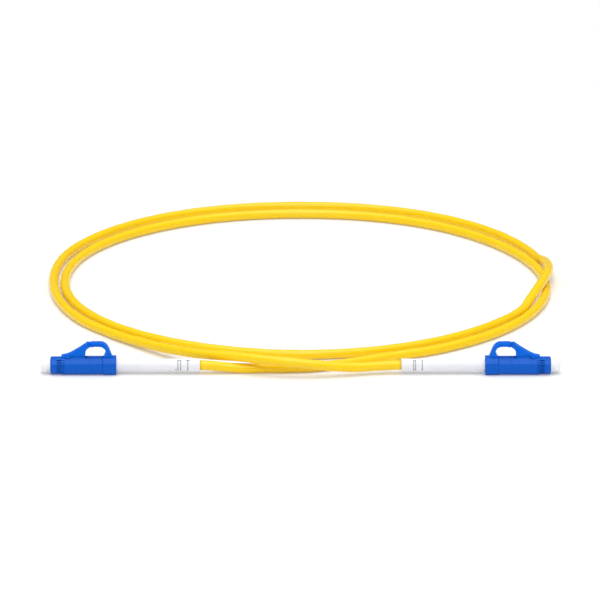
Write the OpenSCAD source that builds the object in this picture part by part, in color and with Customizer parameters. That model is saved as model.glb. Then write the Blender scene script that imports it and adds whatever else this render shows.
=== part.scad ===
// Simplex fiber optic patch cord: two latched plugs with boots and dust caps, and a jacketed cable that
// lies in two loops. Millimetres. The origin lies midway between the plugs on the surface that they stand
// on, +X points to the right plug's nose, +Y runs from the plugs to the loops and +Z points up.
// Inside a plug, u is the distance from the nose's front face towards the cable, and v is the height above
// the plug's axis.

/* [Cord] */
// Distance from the origin to each nose's front face
nose_x = 77; // [74:0.5:80]
// Diameter of the cable's jacket
cable_d = 3; // [2.8:0.05:3.1]
// Mean radius of the loops, to the middle of the cable
loop_r = 77.6; // [77.4:0.1:77.8]
// Distance from the line of the plugs to the middle of the loops
loop_y = 85; // [84.8:0.1:85.2]
// Clear gap where the second loop rolls over the first
cable_gap = 0.53; // [0.45:0.04:0.61]
// Corners of the cable's section
cable_sides = 8; // [6:1:12]
// Rings of points in one full loop
rings_per_loop = 48; // [48:24:72]

/* [Nose and body] */
// Width of the nose
nose_w = 4.6; // [4.4:0.05:4.8]
// Height of the nose
nose_h = 4.85; // [4.7:0.05:4.9]
// Length of the nose ahead of the latch's root
nose_l = 3.3; // [3.2:0.05:3.6]
// Width of the body behind the nose
body_w = 5; // [4.9:0.05:5.1]
// Height of the body behind the nose
body_h = 5.1; // [5:0.02:5.2]
// Distance from the nose's front face to the seam between the front and the rear housing
seam_u = 12.1; // [11.9:0.05:12.4]
// Width that a corner's slope takes from the top and the bottom face
corner_w = 1; // [0.8:0.05:1.1]
// Height of the slope at an upper corner
upper_corner_h = 1.5; // [1.2:0.05:1.6]
// Height of the slope at a lower corner
lower_corner_h = 0.9; // [0.6:0.05:1.1]
// Bevel round the nose's front edge
nose_bevel = 0.25; // [0.1:0.05:0.3]
// Number of grip slots on each side of the nose
grip_slots = 7; // [3:1:7]
// Height from one grip slot to the next
grip_pitch = 0.6; // [0.5:0.02:0.62]
// Depth of a grip slot
grip_depth = 0.35; // [0.25:0.05:0.4]

/* [Collar] */
// Width of the collar
collar_w = 5.2; // [5.15:0.05:5.4]
// Height of the collar, which stands on the surface below
collar_h = 5.4; // [5.3:0.05:5.6]
// Distance from the nose's front face to the collar's front edge
collar_u = 16.1; // [15.9:0.05:16.2]
// Length of the collar
collar_l = 4.15; // [4.05:0.05:4.4]
// Wall of the collar at its sides
collar_wall = 0.4; // [0.3:0.05:0.5]

/* [Latch and trigger] */
// Width of the latch and of the trigger
arm_w = 2.2; // [1.8:0.1:2.3]
// Width across the latch's catch shoulders
shoulder_w = 3.5; // [3:0.1:3.8]
// Height of the trigger's flat top above the plug's axis
arch_top = 7.42; // [7.3:0.02:7.6]
// Thickness of the bar over the finger window
arch_bar = 1.1; // [0.9:0.05:1.2]
// Clear gap between the latch and the trigger's tongue that lies in it
lap_gap = 0.24; // [0.2:0.01:0.28]
// Width of the trigger's tongue
tongue_w = 1.1; // [1:0.05:1.2]

/* [Ferrule and spring] */
// Diameter of the ferrule
ferrule_d = 1.25; // [1.2:0.01:1.3]
// Length of ferrule in front of the nose
ferrule_out = 2; // [1.8:0.05:2.1]
// Diameter of the opening in the nose
nose_bore_d = 2.9; // [2.85:0.05:3.1]
// Diameter of the chamber that holds the spring
chamber_d = 3.1; // [3.05:0.05:3.2]
// Distance that the ferrule can be pushed in
ferrule_travel = 1; // [0.8:0.1:1]
// Diameter of the spring's wire
wire_d = 0.35; // [0.3:0.01:0.38]
// Number of turns of the spring
spring_turns = 6; // [4:1:7]

/* [Cable end] */
// Diameter of the crimp post
post_d = 2.5; // [2.4:0.02:2.52]
// Diameter of the buffered fiber
buffer_d = 0.9; // [0.85:0.01:0.95]
// Wall of the crimp sleeve
sleeve_wall = 0.16; // [0.14:0.01:0.18]

/* [Boot] */
// Distance from the nose's front face to the end of the boot
boot_end = 46; // [45:0.5:47]
// Wall of the boot over the crimp sleeve
boot_wall = 0.2; // [0.15:0.01:0.25]
// How far the grooved tail stands proud of the boot
boot_step = 0.1; // [0.05:0.01:0.15]
// Length of the grooved tail
boot_tail_l = 8.6; // [8:0.1:9]
// Depth of a groove in the tail
groove_depth = 0.25; // [0.15:0.01:0.3]
// Width of a groove in the tail
groove_w = 0.3; // [0.2:0.02:0.4]

/* [Dust cap] */
// Diameter of the cap's head
cap_d = 4.1; // [3.8:0.05:4.4]
// Length of the cap in front of the nose
cap_l = 2.85; // [2.7:0.05:3.1]
// Diameter of the stem that enters the nose
cap_stem_d = 2.5; // [2.2:0.05:2.6]

/* [Hidden] */
$fn = 48;

axis_z = collar_h / 2;
eps = 0.05;
slide_gap = 0.1;
seat_gap = 0.05;

// Colours of the moulded plastics, the metals and the cable.
blue = "#0A63D6";
white = "#F4F5F8";
yellow = "#FDD61C";
metal = "#C9CCD1";
brass = "#B9A46A";
zirconia = "#F7F4EC";
aramid = "#E8C84A";

// ---------------------------------------------------------------- helpers inside a plug

// Puts a plug's parts at the right end (side = 1) or, turned half way round, at the left end (side = -1).
module at_end(side) {
    rotate([0, 0, side > 0 ? 0 : 180])
        translate([nose_x, 0, axis_z])
            children();
}

// A round bar on the plug's axis between two distances from the nose.
module rod(from, to, d) {
    translate([-to, 0, 0])
        rotate([0, 90, 0])
            cylinder(h = to - from, d = d);
}

// A body turned about the plug's axis from an outline of [u, radius] points.
module turned(outline) {
    rotate([0, -90, 0])
        rotate_extrude()
            polygon([for (p = outline) [p[1], p[0]]]);
}

// The sloped-corner section of the plug, seen along its axis.
module section(w, h, inset = 0) {
    hw = w / 2 - inset;
    hh = h / 2 - inset;
    polygon([
        [-hw, -hh + lower_corner_h], [-hw + corner_w, -hh], [hw - corner_w, -hh], [hw, -hh + lower_corner_h],
        [hw, hh - upper_corner_h], [hw - corner_w, hh], [-hw + corner_w, hh], [-hw, hh - upper_corner_h]
    ]);
}

// A bar with that section between two distances from the nose.
module bar(from, to, w, h, inset = 0) {
    translate([-to, 0, 0])
        rotate([90, 0, 90])
            linear_extrude(to - from)
                section(w, h, inset);
}

// A block given by its ends along u, its width and its lower and upper height above the axis.
module block(from, to, w, low, high) {
    translate([-to, -w / 2, low])
        cube([to - from, w, high - low]);
}

// A plate of the given width cut to an outline of [u, v] points. A point that two curves share counts once.
module plate(outline, w) {
    translate([0, w / 2, 0])
        rotate([90, 0, 0])
            linear_extrude(w)
                polygon([for (i = [0 : len(outline) - 1])
                    if (i == 0 || norm(outline[i] - outline[max(i - 1, 0)]) > 0.001)
                        [-outline[i][0], outline[i][1]]]);
}

// ---------------------------------------------------------------- places along the plug

slot_u = nose_l - 1.35;
slot_end = nose_l - eps;
fine_slot_end = nose_l + 1.1;
nose_bore_l = nose_l - 0.8;
seat_hole_d = 2.1;
flange_u = nose_l + 0.45;
flange_l = 1.6;
flange_d = chamber_d - 2 * slide_gap;
holder_tube_d = 1.9;
holder_tube_end = seam_u - 2.1;
spring_u = flange_u + flange_l;
spring_end = seam_u + 0.3;
spigot_l = 2.4;
spigot_wall = 0.31;
spigot_d = chamber_d + 2 * spigot_wall;
press_play = 0.06;
core_wall_gap = 0.05;
core_play_h = 0.1;
core_w = collar_w - 2 * (collar_wall + core_wall_gap);
core_h = collar_h - 2 * (collar_wall + core_wall_gap) - core_play_h;
core_end = collar_u + collar_l - 0.25;
lip_l = 1.6;
lip_u = core_end - lip_l;
crimp_plug_d = chamber_d - press_play;
post_l = 5.2;
post_end = core_end + post_l;
jacket_u = post_end + 0.3;
sleeve_u = core_end + 0.4;
sleeve_l = 8.6;
sleeve_end = sleeve_u + sleeve_l;
sleeve_in_d = cable_d + 0.04;
sleeve_out_d = sleeve_in_d + 2 * sleeve_wall;
boot_u = collar_u + collar_l;
boot_fit = 0.045;
boot_d = sleeve_out_d + 2 * (boot_fit + boot_wall);
boot_tail_d = boot_d + 2 * boot_step;
boot_tail_u = boot_end - boot_tail_l;
buffer_bore_d = buffer_d + 0.2;
buffer_inset = 3.25;
buffer_u = spring_u + buffer_inset;
jacket_wall = 0.55;
jacket_in_d = cable_d - 2 * jacket_wall;

body_top = body_h / 2;
pocket_depth = 0.3;
pocket_side_gap = 0.2;
rail_h = 0.6;
rail_w = 0.3;
rail_foot_w = 0.6;
latch_root_l = 1.3;
latch_root_h = 0.65;
latch_u = nose_l + 0.1;
latch_hinge_u = nose_l + latch_root_l;
latch_l = 7.4;
latch_end_u = latch_hinge_u + latch_l;
latch_heel_u = latch_end_u - 1.2;
latch_heel_v = body_top + 0.55;
pocket_end = latch_heel_u + 0.35;
fork_u = latch_end_u - 1.05;
tongue_side_gap = 0.1;
arm_joint_u = latch_end_u + 0.55;
shoulder_u = latch_hinge_u + 0.3;
shoulder_l = 1.1;
rail_u = shoulder_u + shoulder_l + 0.35;
rail_end = latch_heel_u - 0.1;
foot_u = collar_u + 0.4;
foot_end = collar_u + 3;
foot_v = collar_h / 2 + 0.2;
arch_under = arch_top - arch_bar;

// Point at t on a cubic curve from p to q with the handles a and b.
function curve_point(p, a, b, q, t) =
    pow(1 - t, 3) * p + 3 * t * pow(1 - t, 2) * a + 3 * t * t * (1 - t) * b + t * t * t * q;

// Points of that curve between two values of t.
function curve(p, a, b, q, from = 0, to = 1, steps = 8) =
    [for (i = [0 : steps]) curve_point(p, a, b, q, from + (to - from) * i / steps)];

// Points of a round corner between two angles.
function corner(centre, r, from, to, steps = 6) =
    [for (i = [0 : steps])
        let (a = from + (to - from) * i / steps)
        centre + r * [cos(a), sin(a)]];

// The back of the arm as [u, v] points: latch and trigger together rise along one hollow curve.
ramp_end = [latch_end_u - 1.9, arch_top - 1.01];
ramp = [
    [latch_u, body_top + latch_root_h], [latch_u + 2.2, body_top + latch_root_h + 0.1],
    [ramp_end[0] - 2.5, ramp_end[1] - 1.66], ramp_end
];
top_front = [latch_end_u + 0.1, arch_top];
crest = curve(ramp_end, ramp_end + [0.8, 0.54], top_front - [0.8, 0], top_front);
tip_share = 0.72;
tip_h = 0.14;
tip = curve_point(ramp[0], ramp[1], ramp[2], ramp[3], tip_share);
// Underside of the trigger's tongue where it presses on the latch: its tip and the end of the ramp.
lap = [[tip[0], tip[1] - tip_h], ramp_end - [0, 0.4]];

// ---------------------------------------------------------------- blue plastic

// Nose and front body, with the chamber, the pocket below the latch and the grip slots.
module front_housing() {
    color(blue)
    difference() {
        union() {
            hull() {
                bar(0, eps, nose_w, nose_h, nose_bevel);
                bar(nose_bevel, nose_bevel + eps, nose_w, nose_h);
            }
            bar(nose_bevel, nose_l, nose_w, nose_h);
            bar(nose_l, seam_u, body_w, body_h);
        }
        rod(-eps, nose_bore_l, nose_bore_d);
        rod(nose_bore_l - eps, flange_u, seat_hole_d);
        rod(flange_u - eps, seam_u + eps, chamber_d);
        rod(seam_u - spigot_l - slide_gap, seam_u + eps, spigot_d + press_play);
        block(latch_hinge_u, pocket_end, arm_w + 2 * pocket_side_gap, body_top - pocket_depth, body_h);
        grip_cuts(slot_u, slot_end, nose_w, nose_h, 0.5, grip_depth);
        grip_cuts(nose_l - eps, fine_slot_end, body_w, body_h, 0.3, grip_depth / 2);
    }
    color(blue)
    for (y = [-1, 1])
        rail(y);
}

// Low rail beside the latch's pocket, which keeps dirt out of the gap below the latch; y is 1 or -1.
module rail(y) {
    inner = arm_w / 2 + pocket_side_gap;
    foot = body_top - eps;
    translate([-rail_end, 0, 0])
        rotate([90, 0, 90])
            linear_extrude(rail_end - rail_u)
                polygon([for (p = [
                    [inner, foot], [inner + rail_foot_w, foot], [inner + rail_w, body_top + rail_h],
                    [inner, body_top + rail_h]
                ]) [y * p[0], p[1]]]);
}

// Level slots in the skin of both sides; share is a slot's part of the pitch.
module grip_cuts(from, to, w, h, share, depth) {
    half = share * grip_pitch / 2;
    lowest = (0.25 - (grip_slots - 1) / 2) * grip_pitch;
    difference() {
        for (i = [0 : grip_slots - 1])
            block(from, to, w + 1, lowest + i * grip_pitch - half, lowest + i * grip_pitch + half);
        bar(from - eps, to + eps, w, h, depth);
    }
}

// Cantilever arm that rises from the nose, with a catch shoulder on each side. Its upper end is a fork, and
// the trigger's tongue lies between the prongs, so that the two look like one arm from the side.
module latch() {
    heel_r = 0.3;
    heel = [latch_heel_u - heel_r, latch_heel_v + heel_r];
    end_low = [latch_end_u, arch_under - 0.45];
    prong_end = [latch_end_u - 0.25, arch_top - 0.12];
    drop = [0, lap_gap];
    shoulder_top = body_top + latch_root_h + 0.2;
    outline = concat(
        [[latch_u, body_top], [latch_hinge_u, body_top]],
        corner(heel, heel_r, -90, 0),
        curve([latch_heel_u, arch_under - 2.22], [latch_heel_u, arch_under - 1.4],
            [latch_end_u - 0.8, arch_under - 0.7], end_low),
        [prong_end],
        [for (i = [len(crest) - 1 : -1 : 0]) if (crest[i][0] < prong_end[0] - 0.1) crest[i]],
        curve(ramp_end, ramp[2], ramp[1], ramp[0])
    );
    slot = [
        lap[0] - drop - [1, 0.34], lap[1] - drop, [fork_u, lap[1][1] - lap_gap], [fork_u, arch_under - 2],
        [latch_end_u + 1, arch_under - 2], [latch_end_u + 1, arch_top + 1], [tip[0] - 1, arch_top + 1]
    ];
    color(blue)
    union() {
        difference() {
            plate(outline, arm_w);
            plate(slot, tongue_w + 2 * tongue_side_gap);
        }
        plate([
            [shoulder_u, body_top + 0.15], [shoulder_u + shoulder_l, body_top + 0.15],
            [shoulder_u + shoulder_l, shoulder_top + 0.1], [shoulder_u + 0.5, shoulder_top],
            [shoulder_u, shoulder_top - 0.3]
        ], shoulder_w);
    }
}

// Anti-snag arm: its foot stands on the collar and its tongue lies in the latch.
module trigger() {
    top_back = [foot_u - 1.1, arch_top];
    hip = [foot_u + 1.6, arch_top - 2.02];
    knee = [foot_u + 0.55, arch_under - 1.82];
    outline = concat(
        curve(ramp[0], ramp[1], ramp[2], ramp[3], tip_share, 1),
        crest,
        curve(top_back, top_back + [1.2, 0], hip + [-0.5, 1.2], hip),
        curve(hip, hip + [0.4, -1], [foot_end - 0.4, foot_v + 0.6], [foot_end, foot_v]),
        curve([foot_u, foot_v], [foot_u, foot_v + 0.7], knee - [0, 0.6], knee),
        curve(knee, knee + [-0.05, 0.9], [foot_u - 0.4, arch_under], [foot_u - 1.7, arch_under]),
        curve([latch_end_u + 1.7, arch_under], [latch_end_u + 1.2, arch_under],
            [latch_end_u + 0.4, arch_under - 0.25], [fork_u + 0.7, arch_under - 0.6]),
        [[fork_u + 0.6, arch_under], lap[1], lap[0]]
    );
    color(blue) {
        plate(outline, tongue_w);
        intersection() {
            plate(outline, arm_w);
            block(arm_joint_u, foot_end + 1, arm_w, 0, arch_top + 1);
        }
    }
}

// Rear body behind the seam: a spigot enters the front housing and a narrower core carries the collar.
module rear_housing() {
    color(blue)
    difference() {
        union() {
            rod(seam_u - spigot_l, seam_u + eps, spigot_d);
            bar(seam_u, collar_u, body_w, body_h);
            bar(collar_u - eps, core_end, core_w, core_h);
        }
        rod(seam_u - spigot_l - eps, lip_u, chamber_d);
        rod(lip_u - eps, core_end + eps, post_d + 0.1);
    }
}

// Clip ring over the rear housing's core.
module collar() {
    bevel_l = 0.15;
    end = collar_u + collar_l;
    color(blue)
    difference() {
        union() {
            hull() {
                bar(collar_u, collar_u + eps, collar_w, collar_h, 0.12);
                bar(collar_u + bevel_l, collar_u + bevel_l + eps, collar_w, collar_h);
            }
            bar(collar_u + bevel_l, end, collar_w, collar_h);
        }
        bar(collar_u - eps, end + eps, core_w + 2 * core_wall_gap, core_h + 2 * core_wall_gap);
    }
}

// ---------------------------------------------------------------- ferrule, spring and crimp

// Ceramic ferrule with its bevelled tip and the fiber's capillary.
module ferrule() {
    r = ferrule_d / 2;
    rear = flange_u + 1.7;
    color(zirconia)
    turned([
        [-ferrule_out, 0.07], [-ferrule_out, r - 0.15], [-ferrule_out + 0.3, r], [rear, r], [rear, 0.3],
        [rear - 0.4, 0.07]
    ]);
}

// Metal flange with a six-sided collar in front of the spring and a tube inside it.
module ferrule_holder() {
    bore_d = ferrule_d + 0.02;
    color(metal)
    difference() {
        union() {
            rod(nose_bore_l, spring_u, holder_tube_d);
            translate([-spring_u, 0, 0])
                rotate([0, 90, 0])
                    cylinder(h = flange_l, d = flange_d, $fn = 6);
            rod(spring_u - eps, holder_tube_end, holder_tube_d);
        }
        rod(nose_bore_l - eps, flange_u + 1.75, bore_d);
        rod(flange_u + 1.7, buffer_u, 0.5);
        rod(buffer_u - ferrule_travel - slide_gap, holder_tube_end + eps, buffer_bore_d);
    }
}

// Bare glass in the ferrule's capillary.
module glass_fiber() {
    color("white")
    rod(-ferrule_out, buffer_u - ferrule_travel - 2 * slide_gap, 0.125);
}

// Centre of the spring's wire at a turn count.
function spring_point(turn) =
    let (start = spring_u + wire_d / 2 + seat_gap)
    let (pitch = (spring_end - spring_u - wire_d - 2 * seat_gap) / spring_turns)
    let (r = (chamber_d - wire_d) / 2 - slide_gap)
    [-(start + pitch * turn), r * cos(360 * turn), r * sin(360 * turn)];

// Compression spring between the flange and the crimp body, one unbroken wire.
module spring() {
    steps = spring_turns * 8;
    color(metal)
    tube([for (i = [0 : steps]) spring_point(i / 8)], wire_d, 6, [1, 0, 0]);
}

// Spring seat in the rear housing, with a ribbed post for the crimp.
module crimp_body() {
    rib_pitch = 0.7;
    color(brass)
    difference() {
        union() {
            rod(spring_end, lip_u - seat_gap, crimp_plug_d);
            rod(lip_u - 2 * seat_gap, post_end, post_d);
        }
        for (i = [0 : 5])
            difference() {
                rod(sleeve_u + (i + 0.4) * rib_pitch, sleeve_u + (i + 0.8) * rib_pitch, post_d + 1);
                rod(sleeve_u, post_end, post_d - 0.2);
            }
        rod(spring_end - eps, post_end + eps, buffer_bore_d);
    }
}

// Strength yarn: inside the jacket, and folded back over the post.
module aramid_yarn() {
    out_r = sleeve_in_d / 2 - 0.02;
    post_r = post_d / 2 + 0.02;
    core_r = buffer_d / 2 + 0.03;
    color(aramid)
    turned([
        [sleeve_u + 0.1, post_r], [post_end + seat_gap, post_r], [post_end + seat_gap, core_r],
        [boot_end, core_r], [boot_end, jacket_in_d / 2 - 0.02], [jacket_u - seat_gap, jacket_in_d / 2 - 0.02],
        [jacket_u - seat_gap, out_r], [sleeve_u + 0.1, out_r]
    ]);
}

// Metal sleeve crimped over the yarn and the jacket, with three pressed rings.
module crimp_sleeve() {
    ring_l = 0.6;
    color(metal)
    difference() {
        rod(sleeve_u, sleeve_end, sleeve_out_d);
        rod(sleeve_u - eps, sleeve_end + eps, sleeve_in_d);
        for (u = [sleeve_u + 1.4, sleeve_u + 3, sleeve_u + 6.6])
            difference() {
                rod(u, u + ring_l, sleeve_out_d + 1);
                rod(u - eps, u + ring_l + eps, sleeve_out_d - 0.12);
            }
    }
}

// Buffered fiber from the ferrule holder to the end of the boot.
module buffered_fiber() {
    color("white")
    rod(buffer_u, boot_end, buffer_d);
}

// ---------------------------------------------------------------- white plastic

// Cap with a rounded head and a hollow stem that slides over the ferrule.
module dust_cap() {
    r = cap_d / 2;
    round_r = 0.55;
    neck_u = -0.7;
    neck_depth = 0.12;
    stem_r = cap_stem_d / 2;
    bore_r = ferrule_d / 2 + 0.06;
    stem_l = nose_bore_l - 0.2;
    bore_end = -ferrule_out - 0.3;
    color(white)
    turned(concat(
        [[-cap_l, 0]],
        corner([-cap_l + round_r, r - round_r], round_r, 180, 90),
        [
            [neck_u - neck_depth, r], [neck_u, r - neck_depth], [0, r - neck_depth], [0, stem_r],
            [stem_l, stem_r], [stem_l, bore_r], [bore_end, bore_r], [bore_end, 0]
        ]
    ));
}

// Strain relief sleeve: plain in front, ring grooves and short side slits in its tail.
module boot() {
    r = boot_d / 2;
    tail_r = boot_tail_d / 2;
    sleeve_r = sleeve_out_d / 2 + boot_fit;
    cable_r = cable_d / 2 + 0.03;
    throat = sleeve_end + 0.2;
    grooves = [for (g = [1.8, 2.7, 4.8]) boot_tail_u + g];
    color(white)
    difference() {
        turned([
            [boot_u, sleeve_r], [boot_u, r - 0.08], [boot_u + 0.15, r], [boot_tail_u - 0.1, r],
            [boot_tail_u + 0.1, tail_r], [boot_end - 0.15, tail_r], [boot_end, tail_r - 0.12],
            [boot_end, cable_r], [throat + 0.4, cable_r], [throat, sleeve_r]
        ]);
        for (g = grooves)
            difference() {
                rod(g, g + groove_w, boot_tail_d + 1);
                rod(g - eps, g + groove_w + eps, boot_tail_d - 2 * groove_depth);
            }
        slit(grooves[0], grooves[1], 22, -22);
        slit(grooves[2], grooves[2] + 1, 22, -22);
        slit(grooves[0] - 0.9, grooves[0] + eps, 125, -125);
    }
}

// Short slits along the boot's tail, each at its angle from the top.
module slit(from, to, angle_a, angle_b) {
    for (angle = [angle_a, angle_b])
        rotate([angle, 0, 0])
            block(from, to, groove_w * 0.8, boot_tail_d / 2 - groove_depth, boot_tail_d);
}

// ---------------------------------------------------------------- cable

// End of the jacket inside the boot.
module cable_end() {
    color(yellow)
    difference() {
        rod(jacket_u, boot_end, cable_d);
        rod(jacket_u - eps, boot_end + eps, jacket_in_d);
    }
}

function unit(v) = v / norm(v);

// Direction of a route at its point i.
function heading(route, i) =
    unit(route[min(i + 1, len(route) - 1)] - route[max(i - 1, 0)]);

// Corners of a tube's ring round point i; up is a direction that the route never takes.
function ring(route, i, r, sides, up) =
    let (t = heading(route, i))
    let (across = unit(cross(up, t)))
    let (over = cross(t, across))
    [for (k = [0 : sides - 1])
        let (a = 360 * k / sides - 90)
        route[i] + r * (cos(a) * across + sin(a) * over)];

// One closed tube of triangles along a route.
module tube(route, d, sides, up) {
    last = len(route) - 1;
    points = [for (i = [0 : last]) each ring(route, i, d / 2, sides, up)];
    walls = [for (i = [0 : last - 1]) for (k = [0 : sides - 1])
        let (a = i * sides + k)
        let (b = i * sides + (k + 1) % sides)
        each [[a, a + sides, b], [b, a + sides, b + sides]]];
    caps = [for (k = [1 : sides - 2])
        each [[0, k, k + 1], [last * sides, last * sides + k + 1, last * sides + k]]];
    polyhedron(points, concat(walls, caps), convexity = 10);
}

// The loops run counter-clockwise from above. Their angle is 0 at the front and 90 at the right, and it
// passes 360 in the second loop. The list says how far the radius differs from the mean at every 30
// degrees, from 30.
radius_change = [
    0.5, 0.6, 0.5, -0.2, 0.4, 0, 0.4, -0.2, -2.7, -4.9, -6.7,
    -6.65, -6.1, -4.1, 0.4, 4.9, 8.2, 8.4, 8.2, 5.3, 0.9, -0.1
];
table_step = 30;
loop_start = table_step;
loop_end = table_step * len(radius_change);
roll_start = 429;
roll_end = 471;
pass_pitch = cable_d + cable_gap;

// Value at share t of the way from b to c on a smooth curve that passes through a, b, c and d.
function between(a, b, c, d, t) =
    (2 * b + (c - a) * t + (2 * a - 5 * b + 4 * c - d) * t * t + (3 * b - a - 3 * c + d) * t * t * t) / 2;

// The loops' radius at an angle, read between the values of the list.
function table_radius(angle) =
    let (last = len(radius_change) - 1)
    let (place = angle / table_step - 1)
    let (i = min(floor(place), last - 1))
    loop_r + between(
        radius_change[max(i - 1, 0)], radius_change[i], radius_change[i + 1], radius_change[min(i + 2, last)],
        place - i);

// How far the second loop has rolled over the first, from 0 to half a turn.
function rolled(angle) = 180 * min(max((angle - roll_start) / (roll_end - roll_start), 0), 1);

// While it rolls over, the second loop stays one pitch away from the first. Elsewhere both lie flat.
function loop_place(angle) =
    let (roll = rolled(angle))
    roll > 0 && roll < 180
        ? [table_radius(angle - 360) - pass_pitch * cos(roll), cable_d / 2 + pass_pitch * sin(roll)]
        : [table_radius(angle), cable_d / 2];

function loop_point(angle) =
    let (place = loop_place(angle))
    [place[0] * sin(angle), loop_y - place[0] * cos(angle), place[1]];

loop_steps = round((loop_end - loop_start) * rings_per_loop / 360);
loop_step = (loop_end - loop_start) / loop_steps;
loop_points = [for (i = [0 : loop_steps]) loop_point(loop_start + loop_step * i)];
first_heading = [cos(loop_start), sin(loop_start), 0];
last_heading = [cos(loop_end), sin(loop_end), 0];
coil_first = loop_points[0] - cable_d * first_heading;
coil_last = loop_points[loop_steps] + cable_d * last_heading;
coil_route = concat([coil_first], loop_points, [coil_last]);

// Free stretch from the left boot to the loops, by hand.
left_route = [
    [-31, 0, 2.7], [-28, 0, 2.6], [-22, 0.2, 1.9], [-16, 0.5, 1.5], [-10, 0.8, 1.5], [-4, 1, 1.5],
    [2, 1.5, 1.5], [8, 3, 1.5], [14, 5.4, 1.5], [20, 8.3, 1.5], [26, 11.3, 1.5]
];
// Free stretch from the loops over the left one to the right boot, by hand.
right_route = [
    [-57, 32.8, 1.7], [-51.3, 26.3, 2], [-44.8, 19.3, 2.5], [-38, 12.9, 3.2], [-31.5, 7.4, 3.95],
    [-25, 3.5, 4.7], [-19, 0.8, 5.15], [-13, -1.5, 5.15], [-7, -3, 5], [-1, -3.7, 4.65], [5, -3.7, 4],
    [11, -3, 3.15], [17, -1.8, 2.6], [23, -0.6, 2.55], [28, 0, 2.7], [31, 0, 2.7]
];
lead_left_route = concat(left_route, [coil_first - cable_d * first_heading, coil_first]);
lead_right_route = concat([coil_last, coil_last + cable_d * last_heading / 2], right_route);

// Free stretches on the floor and the coil between them.
module cable_lead_left() {
    color(yellow)
    tube(lead_left_route, cable_d, cable_sides, [0, 0, 1]);
}

module cable_coil() {
    color(yellow)
    tube(coil_route, cable_d, cable_sides, [0, 0, 1]);
}

module cable_lead_right() {
    color(yellow)
    tube(lead_right_route, cable_d, cable_sides, [0, 0, 1]);
}

// Least gap between passes of the coil, over all its ring centres more than a quarter loop apart.
function least_gap(route, apart) =
    min([for (i = [0 : len(route) - apart - 1]) for (j = [i + apart : len(route) - 1])
        norm(route[i] - route[j])]) - cable_d;

// Length of a route: its steps times a row of ones.
function route_length(route) =
    let (steps = [for (i = [1 : len(route) - 1]) norm(route[i] - route[i - 1])])
    steps * [for (s = steps) 1];

echo(least_gap_of_coil = least_gap(coil_route, rings_per_loop / 4));
echo(least_gap_of_spring = (spring_end - spring_u - wire_d - 2 * seat_gap) / spring_turns - wire_d);
echo(length_of_cable =
    route_length(lead_left_route) + route_length(coil_route) + route_length(lead_right_route));

// ---------------------------------------------------------------- what is drawn

cable_lead_left();
cable_coil();
cable_lead_right();
at_end(-1) dust_cap();  // left_dust_cap
at_end(-1) front_housing();  // left_front_housing
at_end(-1) latch();  // left_latch
at_end(-1) trigger();  // left_trigger
at_end(-1) rear_housing();  // left_rear_housing
at_end(-1) collar();  // left_collar
at_end(-1) boot();  // left_boot
at_end(-1) ferrule();  // left_ferrule
at_end(-1) ferrule_holder();  // left_ferrule_holder
at_end(-1) glass_fiber();  // left_glass_fiber
at_end(-1) spring();  // left_spring
at_end(-1) crimp_body();  // left_crimp_body
at_end(-1) aramid_yarn();  // left_aramid_yarn
at_end(-1) crimp_sleeve();  // left_crimp_sleeve
at_end(-1) buffered_fiber();  // left_buffered_fiber
at_end(-1) cable_end();  // left_cable_end
at_end(1) dust_cap();  // right_dust_cap
at_end(1) front_housing();  // right_front_housing
at_end(1) latch();  // right_latch
at_end(1) trigger();  // right_trigger
at_end(1) rear_housing();  // right_rear_housing
at_end(1) collar();  // right_collar
at_end(1) boot();  // right_boot
at_end(1) ferrule();  // right_ferrule
at_end(1) ferrule_holder();  // right_ferrule_holder
at_end(1) glass_fiber();  // right_glass_fiber
at_end(1) spring();  // right_spring
at_end(1) crimp_body();  // right_crimp_body
at_end(1) aramid_yarn();  // right_aramid_yarn
at_end(1) crimp_sleeve();  // right_crimp_sleeve
at_end(1) buffered_fiber();  // right_buffered_fiber
at_end(1) cable_end();  // right_cable_end
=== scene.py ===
# %% [markdown]
# # A fiber optic patch cord
# The object is one thin yellow cable with a blue plug at each end. The cable lies on a white table in two
# loops, and the two plugs look away from each other. Every size is a real one: Blender works in metres
# here, and the numbers below are written in millimetres and turned to metres once, because people measure
# plugs that way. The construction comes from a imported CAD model, which is loaded first. It fixes where each
# piece sits and how it moves. This lesson then gives every piece its finish and swaps the plain solids for
# finer meshes.

# %% Load the construction
import math

import bmesh
import bpy
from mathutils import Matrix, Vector


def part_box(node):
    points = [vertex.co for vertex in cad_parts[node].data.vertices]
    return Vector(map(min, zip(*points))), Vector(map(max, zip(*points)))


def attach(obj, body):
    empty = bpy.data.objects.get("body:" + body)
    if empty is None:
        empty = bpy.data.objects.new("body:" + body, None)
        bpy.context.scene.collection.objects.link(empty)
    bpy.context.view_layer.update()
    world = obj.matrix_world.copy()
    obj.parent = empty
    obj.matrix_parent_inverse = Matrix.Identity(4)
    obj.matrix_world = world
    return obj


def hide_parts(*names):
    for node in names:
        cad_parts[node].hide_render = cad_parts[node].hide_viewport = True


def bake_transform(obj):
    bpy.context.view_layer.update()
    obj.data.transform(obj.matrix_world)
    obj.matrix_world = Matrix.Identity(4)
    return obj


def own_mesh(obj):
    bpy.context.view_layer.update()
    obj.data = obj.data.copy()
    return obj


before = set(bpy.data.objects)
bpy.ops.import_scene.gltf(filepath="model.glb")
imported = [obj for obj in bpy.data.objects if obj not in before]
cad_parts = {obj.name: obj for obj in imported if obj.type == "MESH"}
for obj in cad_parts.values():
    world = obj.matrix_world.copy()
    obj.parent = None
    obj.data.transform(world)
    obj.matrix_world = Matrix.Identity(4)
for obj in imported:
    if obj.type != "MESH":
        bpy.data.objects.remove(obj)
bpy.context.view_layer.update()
MM = 0.001
ROOT = "plugs_and_cable"
SIDES = {"left": -1, "right": 1}
print("pieces from the construction:", len(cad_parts))

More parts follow.
